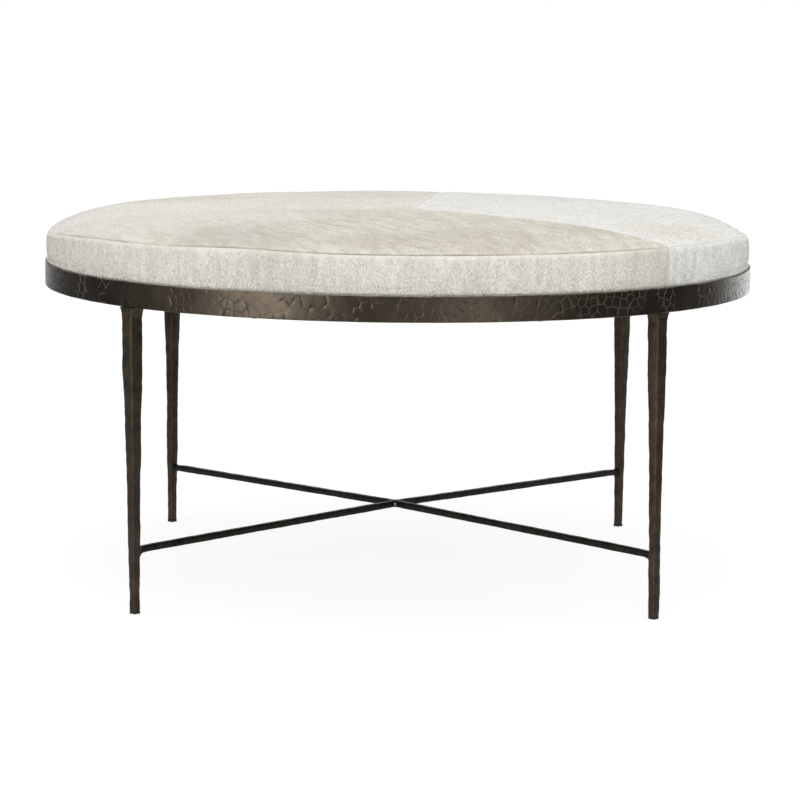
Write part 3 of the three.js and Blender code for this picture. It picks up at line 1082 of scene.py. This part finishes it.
def swell(points, seed, longest):
    """Slow uneven waves, from about -1 to 1."""
    random = np.random.default_rng(seed)
    total = 0
    for _ in range(9):
        way = random.normal(size=3)
        way *= 2 * math.pi / (np.linalg.norm(way) * longest * random.uniform(0.35, 1))
        total = total + np.sin(points @ way + random.uniform(0, 2 * math.pi)) / 5
    return total


def uneven(points, waves):
    """Slow waves of several lengths, laid over one another."""
    return sum(height * swell(points, seed, longest) for height, seed, longest in waves)


def aimed(angles):
    """Steps of one metre in plan at these angles."""
    return np.stack([np.cos(angles), np.sin(angles)], axis=-1)


def along_rim(angles):
    """Places on the rim, in plan."""
    return rim_radius * aimed(angles)


def with_height(plan, heights):
    """Places or ways in plan, each with its height."""
    return np.concatenate([plan, heights[..., None]], axis=-1)


def tightness(angles):
    """How hard the rim's seam is drawn in, and so how dark its painted shade is: most at the front left,
    and little elsewhere.
    """
    away = np.abs(np.mod(np.degrees(angles) - rim_tight[0] + 180, 360) - 180)
    return rim_loose + (1 - rim_loose) * np.clip((rim_tight[1] - away) / rim_fade + 0.5, 0, 1)


def rim_corner(angles):
    """The radius and height at which the top and the band meet in their seam."""
    tight = tightness(angles)
    return rim_radius - sewn_in - tight_in * tight, seam_height - sewn_in - tight_down * tight


def seam_shape(away):
    """The height of the hide beside a seam: pinched in it, and full a little way off."""
    return seam_puff * (1 - np.exp(-away / puff_reach)) - seam_depth * np.exp(-away / seam_width)


def painted_seam_shade(away):
    """How much painted shade a seam's crease gets: 1 in the seam, and soon 0 beside it."""
    return np.exp(-np.maximum(away, 0) / seam_shade)


def sewn(points, outward, angles, from_rim, beside, edge):
    """Draws a hide's points down into the rim's seam from the edge that they had. Also gives how
    much painted shade the seams put on them."""
    corner = rim_corner(angles)
    fall = with_height(outward * (corner[0] - edge[0])[..., None], corner[1] - edge[1])
    pinched = np.exp(-from_rim / pinch_reach)[..., None]
    dark = np.maximum(painted_seam_shade(beside) * cross_seam_shade, painted_seam_shade(from_rim) * tightness(angles))
    return points + pinched * fall, dark


def top_skin(plan, panel, sunk=0.0):
    """The top's outer face over places in plan, with its normals and the painted shade of its seams,
    or a face that lies deeper."""
    spoke = plan - seam_meeting
    reach = np.maximum(np.linalg.norm(spoke, axis=-1), 1e-9)
    way = spoke / reach[..., None]
    lead = way @ seam_meeting
    whole = -lead + np.sqrt(lead**2 + rim_radius**2 - seam_meeting @ seam_meeting)
    rim = seam_meeting + way * whole[..., None]
    inward = np.maximum(1 - reach / whole, 0) * rim_radius
    radius = np.linalg.norm(plan, axis=-1)
    near = nearness(inward)
    angles = np.arctan2(rim[..., 1], rim[..., 0])
    low = droop(angles)
    slope = -crown_rise * crown_power / rim_radius * (radius / rim_radius) ** (crown_power - 1)
    slope -= 2 * low * near / settle_reach
    outward = plan / np.maximum(radius, 1e-9)[..., None]
    normals = with_height(-outward * slope[..., None], np.ones_like(radius))
    normals /= np.linalg.norm(normals, axis=-1, keepdims=True)
    points = with_height(plan, crown(radius) - low * near**2)
    if sunk:
        return points - normals * sunk, normals, None
    beside = np.full_like(radius, 1.0)
    for turn in (seam_turns[panel], seam_turns[panel + 1]):
        seam = along_rim(np.array(turn)) - seam_meeting
        seam /= np.linalg.norm(seam)
        beside = np.minimum(beside, np.abs(spoke[..., 0] * seam[1] - spoke[..., 1] * seam[0]))
    free = (1 - np.exp(-beside / calm_reach), 1 - np.exp(-inward / calm_reach))
    height = seam_shape(beside) + uneven(points, top_waves) * free[0] * free[1]
    height += rim_puff * (1 - np.exp(-inward / puff_reach)) - sewn_in
    points = points + normals * height[..., None]
    points, dark = sewn(points, outward, angles, inward, beside, (rim_radius, seam_height))
    return points, normals, dark


def softened_line():
    """The band's section at even steps from the seam, as radii and heights, with its bends eased."""
    corners = np.array(band_line)
    lengths = np.concatenate([[0], np.cumsum(np.linalg.norm(np.diff(corners, axis=0), axis=1))])
    steps = np.linspace(0, lengths[-1], line_steps)
    line = np.stack([np.interp(steps, lengths, corners[:, i]) for i in range(2)], axis=1)
    ends = (np.repeat(line[:1], ease_window, 0), np.repeat(line[-1:], ease_window, 0))
    padded = np.concatenate([ends[0], line, ends[1]])
    even = np.ones(2 * ease_window + 1) / (2 * ease_window + 1)
    eased = np.stack([np.convolve(padded[:, i], even, "valid") for i in range(2)], axis=1)
    hold = np.minimum(1, np.minimum(steps, steps[-1] - steps) / held_ends)[:, None]
    return steps, line + (eased - line) * hold


band_steps, band_section = softened_line()
band_length = band_steps[-1]


def band_skin(angles, below, panel, sunk=0.0):
    """The band's outer face at places below the seam, in the same three parts."""
    radius, height = (np.interp(below, band_steps, line) for line in band_section.T)
    nudge = 0.0012
    above, under = (np.clip(below + way * nudge, 0, band_length) for way in (-1, 1))
    run = [np.interp(under, band_steps, c) - np.interp(above, band_steps, c) for c in band_section.T]
    size = np.hypot(*run)
    flat_normal = (-run[1] / size, run[0] / size)
    outward = aimed(angles)
    normals = with_height(outward * flat_normal[0][..., None], flat_normal[1])
    share = np.clip((height - hoop_top) / (seam_height - hoop_top), 0, 1)
    height = height - droop(angles) * share
    points = with_height(outward * radius[..., None], height)
    if sunk:
        return points - normals * sunk, normals, None
    beside = np.minimum(angles - seam_turns[panel], seam_turns[panel + 1] - angles) * rim_radius
    free = np.clip((height - hoop_top - free_from) / free_over, 0, 1)
    raised = seam_shape(np.maximum(beside, 0)) * (held_seam + (1 - held_seam) * free)
    raised = raised + uneven(points, band_waves) * free
    raised = raised * (1 - np.exp(-below / band_calm)) - sewn_in * free
    points = points + normals * raised[..., None]
    points, dark = sewn(points, outward, angles, below, beside, band_line[0])
    return points, normals, dark


def from_seam(length):
    """Distances from a seam: close together beside it, then even."""
    count = math.ceil((length - near_seam[-1]) / grid_step) + 1
    return np.concatenate([near_seam[:-1], np.linspace(near_seam[-1], length, count)])


def shell(name, outer, inner, dark):
    """A closed hide from two grids of points, its hair side and its flesh side, with painted shade in
    the seams.
    """
    rows, columns = outer.shape[:2]
    count = rows * columns
    here = np.arange(count).reshape(rows, columns)
    a, b, c, d = here[:-1, :-1], here[1:, :-1], here[1:, 1:], here[:-1, 1:]
    face = np.stack([a, b, c, d], axis=-1).reshape(-1, 4)
    faces = [face, face[:, ::-1] + count]
    edge = np.concatenate([here[:, 0], here[-1, 1:], here[-2::-1, -1], here[0, -2:0:-1]])
    after = np.roll(edge, -1)
    faces.append(np.stack([after, edge, edge + count, after + count], axis=-1))
    points = np.concatenate([outer.reshape(-1, 3), inner.reshape(-1, 3)])
    piece = drawn(name, points, np.concatenate(faces))
    marked(piece.data, "seam", np.concatenate([dark, np.ones_like(dark)]).ravel())
    edit(piece)
    take_all()
    bpy.ops.mesh.remove_doubles(threshold=hide_merge)
    close()
    smooth(piece, 60)
    return piece


def columns_of(panel):
    """The angles of a panel's columns, from its first seam to its second."""
    half = (seam_turns[panel + 1] - seam_turns[panel]) / 2
    aside = from_seam(half * rim_radius) / rim_radius
    return seam_turns[panel] + np.concatenate([aside, 2 * half - aside[-2::-1]])


def make_top(panel):
    """A top panel, as rows round where the seams meet."""
    angles = columns_of(panel)
    inward = np.append(from_seam(rim_radius), rim_radius)[::-1]
    inward = inward[inward <= rim_radius]
    shares = (1 - inward / rim_radius)[:, None, None]
    plan = seam_meeting + shares * (along_rim(angles)[None] - seam_meeting)
    outer, _, dark = top_skin(plan, panel)
    inner = top_skin(plan, panel, hide_thick)[0]
    return shell(f"hide_top_{panels[panel]}_sewn", outer, inner, dark)


def make_band(panel):
    """The length of band under a top panel, down to where it ends under the board."""
    angles = columns_of(panel)
    below = from_seam(band_length)
    below = np.append(below[below < band_length - band_end_gap], band_length)
    angles, below = np.meshgrid(angles, below)
    outer, _, dark = band_skin(angles, below, panel)
    inner = band_skin(angles, below, panel, hide_thick)[0]
    return shell(f"hide_band_{panels[panel]}_sewn", outer, inner, dark)


def patch(finish, place, middle, radius, soft):
    """1 near a place on the hide, and 0 outside a ragged edge."""
    ends = {0: place, 1: middle}
    away = finish.node("ShaderNodeVectorMath", {"operation": "DISTANCE"}, ends, "Value")
    ragged = finish.speckle(place, 38, 4, 0.65)
    return 1 - (away + ragged * (2 * soft) - soft).between(radius - soft, radius + soft)


def hide(name, dark, light, turn, scale, patches, brushed, hair):
    """Short hair on skin, lying one way: streaks along the nap, soft clouds, odd patches, and a
    place where darker strands have been brushed aslant. Bare skin has painted shade, darkest in
    the seams and a little all over, as under the hair."""
    finish = Finish(name, Specular_IOR_Level=0.2, Sheen_Weight=0.2, Sheen_Roughness=0.5)
    place = finish.place()
    streaks = finish.speckle(finish.stretched(place, -turn, scale), 1, 3, 0.62)
    cloud = finish.speckle(finish.stretched(place, -turn, [size**0.72 for size in scale]), 1, 3, 0.6)
    level = (streaks * 0.45 + cloud * 0.55).between(0.3, 0.7)
    if hair:
        level = level * 0.75 + finish.mark("tone") * 0.25
    colour = finish.mixed(level, dark, light)
    for middle, radius, soft, strength, patch_tint in patches:
        share = patch(finish, place, middle, radius, soft) * strength
        colour = finish.mixed(share, colour, patch_tint)
    if brushed:
        strands = finish.speckle(finish.stretched(place, -brushed_way, (13, 330, 330)), 1, 3, 0.6)
        where = patch(finish, place, *brushed)
        colour = finish.mixed(strands.between(0.52, 0.66) * where * 0.55, colour, taupe)
    # Painted shade on the bare skin: dark in the seams' creases, and a little darker all over, as shade
    # under the hair
    if not hair:
        seam = finish.mark("seam")
        patchy = finish.speckle(place, 14, 2, 0.5).between(0.35, 0.65)
        colour = finish.mixed(seam * (patchy * 0.4 + 0.2) + 0.16, colour, seam_shade_colour)
    finish.set("Base Color", colour)
    finish.set("Roughness", streaks * 0.2 + 0.62)
    finish.raised(streaks, 0.0002 if hair else 0.0005, 0.7)
    return finish


front_nap = math.radians(-62)
right_nap = math.radians(-8)
back_nap = math.radians(212)
brushed_way = math.radians(-48)
top_height = seam_height + crown_rise
taupe = tint("#b4aa97")
ash = tint("#aeab9f")
cream = tint("#d8d0bb")
chalk = tint("#f2f0ea")
# The colour of the painted shade in the seams and on the bare skin
seam_shade_colour = tint("#6f675a")
# Each hide: its dark and light hair, which way its nap lies, its streaks to a metre along three
# axes, its odd patches (place, radius, softness, strength, colour) and where it is brushed aslant
hides = {
    "front": (tint("#cbc5b6"), tint("#f2eee3"), front_nap, (70, 560, 560), (
        ((-0.33, -0.1, top_height), 0.17, 0.08, 0.4, chalk),
        ((-0.15, -0.17, top_height), 0.06, 0.03, 0.3, chalk),
        ((-0.2, -0.36, top_height - 0.006), 0.08, 0.05, 0.34, ash),
        ((0.1, -0.37, top_height - 0.005), 0.075, 0.03, 0.26, taupe),
        ((0.23, -0.25, top_height), 0.045, 0.03, 0.3, taupe),
        ((-0.02, -0.39, top_height - 0.005), 0.05, 0.02, 0.2, taupe),
    ), ((0.01, -0.3, top_height), 0.21, 0.08)),
    "right": (tint("#ebe9e3"), tint("#f9f8f4"), right_nap, (80, 560, 560), (
        ((0.34, -0.2, top_height - 0.004), 0.06, 0.04, 0.3, cream),
    ), ()),
    "back_left": (tint("#dcd7cc"), tint("#f6f4ed"), back_nap, (70, 560, 560), (
        ((-0.34, -0.02, top_height), 0.15, 0.07, 0.4, chalk),
        ((-0.3, 0.16, top_height), 0.09, 0.04, 0.15, taupe),
        ((-0.02, 0.25, top_height), 0.1, 0.05, 0.3, cream),
    ), ()),
}
bands = {
    "front": (tint("#ddd8cc"), tint("#faf8f1"), 0, (620, 620, 90), (
        ((0.33, -0.32, 0.43), 0.07, 0.04, 0.3, taupe),
        ((-0.14, -0.43, 0.44), 0.05, 0.03, 0.15, taupe),
    ), ()),
    "right": (tint("#d9d8d3"), tint("#fafaf6"), 0, (620, 620, 90), (), ()),
    "back_left": (tint("#dfdacf"), tint("#fcfaf2"), 0, (620, 620, 90), (), ()),
}
for panel, name in enumerate(panels):
    for kind, make, tints, slot in (
        ("top", make_top, hides, f"hide_{name}"),
        ("band", make_band, bands, "hide_band"),
    ):
        piece = make(panel)
        ridden(piece, hide(f"hide {kind} {name}", *tints[name], False), slot, f"hide_{kind}_{name}")

# The hair: short coarse tufts that lie along each hide's nap, on the top, down the band and out
# over the hoop's edge. A tuft is a thin ridged blade, and the seams part them.
top_tufts = 49000
band_tufts = 46000
fringe_tufts = 2600
top_lengths = (0.0055, 0.0105)
band_lengths = (0.004, 0.0078)
fringe_lengths = (0.0045, 0.0075)
# How high a tuft's ridge and its tip lie above the skin, and its half width
top_ridges = (0.0001, 0.0002)
top_tips = (0.00004, 0.00025)
top_halves = (0.0003, 0.0005)
band_ridges = (0.00007, 0.00014)
band_tips = (0.00003, 0.0002)
band_halves = (0.00018, 0.0003)
# The top's hair: how near the rim its roots come, and how far its way strays from the nap
root_reach = 0.9985
nap_sway = 0.28
nap_sway_length = 0.3
nap_play = 0.13
# The band's: how near the rim it starts, how far above the hoop its roots and its tips end, and
# how far it leans aside
band_start = 0.0006
band_roots_end = 0.004
band_tips_end = 0.0006
band_play = 0.07
band_sway = 0.08
# The fringe's: from where above the hoop it starts, how far past the hoop's hole it reaches, how
# high it lies on the hoop's rim, and where and how high it arches
fringe_roots = (0.0055, 0.0008)
fringe_reach = (0.0003, 0.0028)
fringe_level = 0.0003
fringe_lift = 0.0004
fringe_bend = 0.45
fringe_arch = 0.0007
tuft_bend = 0.4
tuft_foot = 0.00015
seam_overlap = 0.0008
rim_clearance = 0.0002
least_kept = 0.25
least_tuft = 0.0015
# The hair's flat map: a top in one square with an edge, a band in rows, and how wide a tuft is there
map_edge = 0.012
map_rows = 8
row_used = 0.999
row_extra = 0.006
row_edge = 0.001
top_stroke = 0.0011
band_stroke = 0.0009


def tufts(name, roots, ridges, tips, normals, half_widths, tones, maps):
    """One piece of many closed blades. Each has its own tone, and its place on the hide's map."""
    along = tips - roots
    side = np.cross(normals, along)
    side *= (half_widths / np.linalg.norm(side, axis=1))[:, None]
    foot = roots - normals * tuft_foot
    corners = np.stack([foot - side, foot + side, ridges, tips], axis=1)
    count = len(roots)
    faces = np.array([(0, 2, 1), (0, 3, 2), (1, 2, 3), (0, 1, 3)])
    faces = (np.arange(count)[:, None, None] * 4 + faces).reshape(-1, 3)
    mesh = bpy.data.meshes.new(name)
    mesh.vertices.add(4 * count)
    mesh.vertices.foreach_set("co", corners.ravel())
    mesh.loops.add(faces.size)
    mesh.loops.foreach_set("vertex_index", faces.ravel())
    mesh.polygons.add(len(faces))
    mesh.polygons.foreach_set("loop_start", np.arange(0, faces.size, 3))
    mesh.update(calc_edges=True)
    marked(mesh, "tone", np.repeat(tones, 4))
    start, end, width = maps
    across = (end - start)[:, ::-1] * (-1, 1)
    across *= (width / np.maximum(np.linalg.norm(across, axis=1), 1e-9))[:, None]
    bend = start + (end - start) * tuft_bend
    laid = np.stack([start - across, start + across, bend, end], axis=1)
    laid = np.clip(laid.reshape(-1, 2)[faces.ravel()], 0, 1)
    mesh.uv_layers.new(name="OFBake").data.foreach_set("uv", laid.ravel())
    return added(name, mesh)


def proud(points, normals, heights, random):
    """Points lifted off the skin, each by its own height."""
    return points + normals * random.uniform(*heights, len(points))[:, None]


def top_hair(panel, seed):
    """One panel's hair, cut short at its seams and at the rim."""
    name = panels[panel]
    random = np.random.default_rng(seed)
    turns = random.uniform(seam_turns[panel], seam_turns[panel + 1], top_tufts)
    shares = np.sqrt(random.uniform(0, 1, top_tufts)) * root_reach
    root = seam_meeting + shares[:, None] * (along_rim(turns) - seam_meeting)
    spread = with_height(root, np.zeros(top_tufts))
    nap = hides[name][2] + nap_sway * swell(spread, seed + 1, nap_sway_length)
    way = aimed(nap + random.normal(0, nap_play, top_tufts))
    length = random.uniform(*top_lengths, top_tufts)
    tip = root + way * length[:, None]
    kept = np.ones(top_tufts)
    for turn, hand in ((seam_turns[panel], 1), (seam_turns[panel + 1], -1)):
        seam = along_rim(np.array(turn)) - seam_meeting
        inner = np.array((-seam[1], seam[0])) * hand / np.linalg.norm(seam)
        start, end = (root - seam_meeting) @ inner, (tip - seam_meeting) @ inner
        shorter = np.minimum(kept, (start + seam_overlap) / np.maximum(start - end, 1e-9))
        kept = np.where(end < -seam_overlap, shorter, kept)
    start, end = np.linalg.norm(root, axis=1), np.linalg.norm(tip, axis=1)
    edge = rim_radius - rim_clearance
    shorter = np.minimum(kept, (edge - start) / np.maximum(end - start, 1e-9))
    kept = np.where(end > edge, shorter, kept)
    chosen = (kept > least_kept) & (start < edge)
    root, way, length = root[chosen], way[chosen], (length * kept)[chosen]
    tip = root + way * length[:, None]
    roots, normals, _ = top_skin(root, panel)
    bend = root + way * (length * tuft_bend)[:, None]
    ridges = proud(top_skin(bend, panel)[0], normals, top_ridges, random)
    tips = proud(top_skin(tip, panel)[0], normals, top_tips, random)
    low, size = root.min(axis=0) - map_edge, (np.ptp(root, axis=0) + 2 * map_edge).max()
    maps = ((root - low) / size, (tip - low) / size, top_stroke / size)
    halves = random.uniform(*top_halves, len(root))
    tones = random.uniform(0, 1, len(root))
    return tufts(f"hide_top_{name}_hair", roots, ridges, tips, normals, halves, tones, maps)


def band_hair(panel, seed):
    """One band's hair, and the fringe of longer hair that lies out over the hoop's edge."""
    name = panels[panel]
    random = np.random.default_rng(seed)
    whole = band_tufts + fringe_tufts
    fringe = np.arange(whole) >= band_tufts
    start, end = seam_turns[panel], seam_turns[panel + 1]
    turns = random.uniform(start, end, whole)
    visible = np.interp(-hoop_top, -band_section[:, 1], band_steps)
    by_hoop = random.uniform(visible - fringe_roots[0], visible - fringe_roots[1], whole)
    below = np.where(fringe, by_hoop, random.uniform(band_start, visible - band_roots_end, whole))
    long = random.uniform(*fringe_lengths, whole)
    short = np.minimum(random.uniform(*band_lengths, whole), visible - band_tips_end - below)
    length = np.where(fringe, long, short)
    sway = band_sway * np.sin(turns * 5 + 1) * np.sin(turns * 17)
    lean = random.normal(0, band_play, whole) + sway
    aside = turns + lean * length / rim_radius
    gap = seam_overlap / rim_radius
    chosen = (aside > start - gap) & (aside < end + gap) & (length > least_tuft)
    turns, aside, below, length, fringe = (x[chosen] for x in (turns, aside, below, length, fringe))
    count = len(turns)
    roots, normals, _ = band_skin(turns, below, panel)
    middle = turns + (aside - turns) * tuft_bend
    bend = band_skin(middle, below + length * tuft_bend, panel)[0]
    ridges = proud(bend, normals, band_ridges, random)
    tips = proud(band_skin(aside, below + length, panel)[0], normals, band_tips, random)
    edge = (hoop_inner + random.uniform(*fringe_reach, count))[:, None] * aimed(aside)
    level = hoop_top + fringe_level + random.uniform(0, fringe_lift, count)
    tips = np.where(fringe[:, None], with_height(edge, level), tips)
    arch = roots * (1 - fringe_bend) + tips * fringe_bend + normals * fringe_arch
    ridges = np.where(fringe[:, None], arch, ridges)
    share = (turns - start) / (end - start) * map_rows * row_used
    row = np.floor(share)
    row_length = (end - start) * rim_radius / map_rows
    row_height = visible + row_extra
    down = 1 - (below + row_edge) / row_height
    origin = np.stack([share - row, (row + down) / map_rows], axis=1)
    step = np.stack([(aside - turns) * rim_radius / row_length, -length / row_height / map_rows], axis=1)
    halves = random.uniform(*band_halves, count)
    maps = (origin, origin + step, band_stroke / row_length)
    tones = random.uniform(0, 1, count)
    return tufts(f"hide_band_{name}_hair", roots, ridges, tips, normals, halves, tones, maps)


for panel, name in enumerate(panels):
    hair = top_hair(panel, 60 + panel)
    ridden(hair, hide(f"hair top {name}", *hides[name], True), f"hide_{name}")
    hair = band_hair(panel, 70 + panel)
    ridden(hair, hide(f"hair band {name}", *bands[name], True), "hide_band")


# The studio: a white floor that keeps the table's shadow, soft lamps above, in front and at both
# sides, cards and flags that only show in reflections, and the camera at the photograph's place.
floor_side = 30
floor_white = (0.82, 0.82, 0.82, 1)
floor_in_sight = (0.25, 0.25, 0.25, 1)
floor_glow = 0.83
room_light = 0.74
# Each flag: where it stands, in degrees from the front, and how wide it is
flags = (("left_flag", -107, 1.7), ("right_flag", 80, 2.1))
flag_reach = 1.5
flag_height = 1.0
flag_thick = 0.01
# Each lamp: where it is, what it faces, its width, height and watts, and if it lights matt things
lamps = {
    "overhead_softbox": ((-0.3, -0.4, 2.6), (0, 0, 0.4), 1.6, 1.6, 11, True),
    "front_softbox": ((0.5, -3.7, 2.4), (0, 0, 0.35), 1.4, 1.4, 25, True),
    "left_softbox": ((-2.2, -2.4, 1.4), (0, 0, 0.35), 0.9, 0.9, 13, True),
    "right_softbox": ((2.6, -1.2, 1.4), (0, 0, 0.35), 1.0, 1.0, 13, True),
    "left_card": ((-1.11, -1.49, 0.42), (-0.1, -0.49, 0.42), 0.66, 0.84, 10.8, False),
    "right_card": ((0.7, -1.7, 0.42), (0.1, -0.45, 0.42), 0.46, 0.84, 2.5, False),
    "rear_card": ((1.41, 1.65, 0.42), (0.44, -0.1, 0.42), 0.95, 0.84, 3.7, False),
}
camera_place = (0.0002, -4.0830, 0.7961)
camera_pitch, camera_yaw, camera_roll = 0.13966, -0.00111, 0.01038
camera_lens = 141.42


def seen_directly(graph):
    """1 for rays from the camera and rays that gloss or glass sends on, and 0 for all others."""
    kinds = ("Is Camera Ray", "Is Glossy Ray", "Is Transmission Ray")
    camera, glossy, through = (graph.node("ShaderNodeLightPath", {}, {}, kind) for kind in kinds)
    return (camera + glossy + through).between(0, 1)


def make_floor():
    """White paper that keeps the table's shadow, and that looks white where it is seen directly."""
    bpy.ops.mesh.primitive_plane_add(size=1, location=(0, 0, 0))
    floor = placed(bpy.context.object, "studio_floor")
    edit(floor)
    take_all()
    bpy.ops.transform.resize(value=(floor_side, floor_side, 1), center_override=(0, 0, 0))
    close()
    paper = Finish("white floor", Roughness=0.9, Specular_IOR_Level=0.0)
    seen = seen_directly(paper)
    paper.set("Base Color", paper.mixed(seen, floor_white, floor_in_sight))
    paper.set("Emission Color", (1, 1, 1, 1))
    paper.set("Emission Strength", seen * floor_glow)
    paper.on(floor)


def make_flags():
    """Grey cards at both sides, out of sight, that the hoop's sides mirror instead of white."""
    grey = Finish("grey card", Roughness=1.0, Specular_IOR_Level=0.0)
    grey.set("Base Color", grey.mixed(grey.speckle(grey.place(), 40), tint("#858585"), tint("#8f8f8f")))
    for name, azimuth, width in flags:
        angle = math.radians(azimuth)
        where = (flag_reach * math.sin(angle), -flag_reach * math.cos(angle), flag_height / 2)
        flag = block(name, where, (width, flag_thick, flag_height), angle)
        grey.on(flag)
        flag.visible_camera = False
        flag.visible_diffuse = False
        flag.visible_shadow = False


def make_room():
    """White air all round, at full strength where it is seen and weaker where it lights things."""
    world = bpy.data.worlds.new("white room")
    bpy.context.scene.world = world
    world.use_nodes = True
    room = Graph(world.node_tree)
    air = room.tree.nodes["Background"]
    room.feed(air.inputs["Color"], (1, 1, 1, 1))
    room.feed(air.inputs["Strength"], seen_directly(room) * (1 - room_light) + room_light)


def make_lamps():
    """The area lamps. The cards among them don't light matt things."""
    for name, (spot, aim, width, height, power, lights_all) in lamps.items():
        data = bpy.data.lights.new(name, "AREA")
        data.shape = "RECTANGLE"
        data.size = width
        data.size_y = height
        data.energy = power
        lamp = added(name, data)
        lamp.location = spot
        lamp.rotation_euler = (Vector(aim) - Vector(spot)).to_track_quat("-Z", "Y").to_euler()
        lamp.visible_diffuse = lights_all


def make_camera():
    """The camera, where it was found to stand for the photograph."""
    data = bpy.data.cameras.new("photograph_camera")
    data.lens = camera_lens
    data.sensor_width = 36
    camera = added("photograph_camera", data)
    turn = Matrix.Rotation(camera_yaw, 4, "Z")
    turn = turn @ Matrix.Rotation(math.pi / 2 - camera_pitch, 4, "X")
    turn = turn @ Matrix.Rotation(camera_roll, 4, "Z")
    camera.matrix_world = Matrix.Translation(camera_place) @ turn
    bpy.context.scene.camera = camera


make_floor()
make_flags()
make_room()
make_lamps()
make_camera()
bpy.context.scene.view_settings.view_transform = "Standard"
